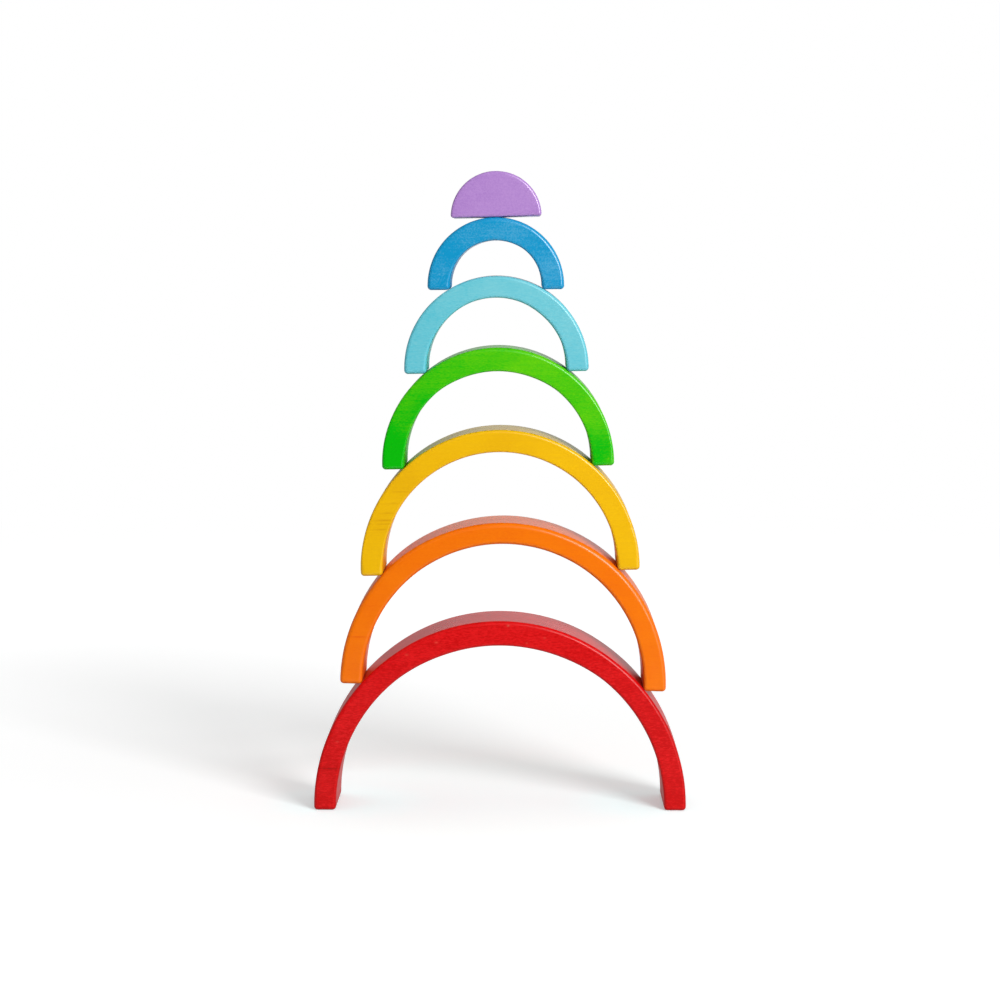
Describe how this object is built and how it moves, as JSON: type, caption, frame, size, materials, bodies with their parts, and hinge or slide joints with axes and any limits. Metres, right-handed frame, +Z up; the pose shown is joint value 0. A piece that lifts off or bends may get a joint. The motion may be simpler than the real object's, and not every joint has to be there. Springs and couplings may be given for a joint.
{
  "type": "rainbow stacker",
  "caption": "Wooden rainbow stacker stood up as a tower: rounded half-ring arches, each astride the crown of the next larger one, topped by a solid half disc. Every piece lifts off.",
  "frame": {"origin": "point on the table midway between the feet of the red arch, in the middle of its depth", "axes": "+Z up, +X to the right along the arches' span, front along -Y"},
  "size_m": [0.18, 0.04, 0.3071],
  "materials": {
    "red_stain": "satin",
    "orange_stain": "satin",
    "yellow_stain": "satin",
    "green_stain": "satin",
    "light_blue_stain": "satin",
    "blue_stain": "satin",
    "violet_stain": "satin"
  },
  "bodies": {
    "red": {"red_arch": "red_stain"},
    "orange": {"orange_arch": "orange_stain"},
    "yellow": {"yellow_arch": "yellow_stain"},
    "green": {"green_arch": "green_stain"},
    "light_blue": {"light_blue_arch": "light_blue_stain"},
    "blue": {"blue_arch": "blue_stain"},
    "violet": {"violet_half_disc": "violet_stain"}
  },
  "joints": [
    {"name": "orange_lift", "type": "slide", "parent": "red", "child": "orange", "axis": [0, 0, 1], "range_m": [0, 0.05]},
    {"name": "yellow_lift", "type": "slide", "parent": "orange", "child": "yellow", "axis": [0, 0, 1], "range_m": [0, 0.05]},
    {"name": "green_lift", "type": "slide", "parent": "yellow", "child": "green", "axis": [0, 0, 1], "range_m": [0, 0.05]},
    {"name": "light_blue_lift", "type": "slide", "parent": "green", "child": "light_blue", "axis": [0, 0, 1], "range_m": [0, 0.05]},
    {"name": "blue_lift", "type": "slide", "parent": "light_blue", "child": "blue", "axis": [0, 0, 1], "range_m": [0, 0.05]},
    {"name": "violet_lift", "type": "slide", "parent": "blue", "child": "violet", "axis": [0, 0, 1], "range_m": [0, 0.05]}
  ]
}
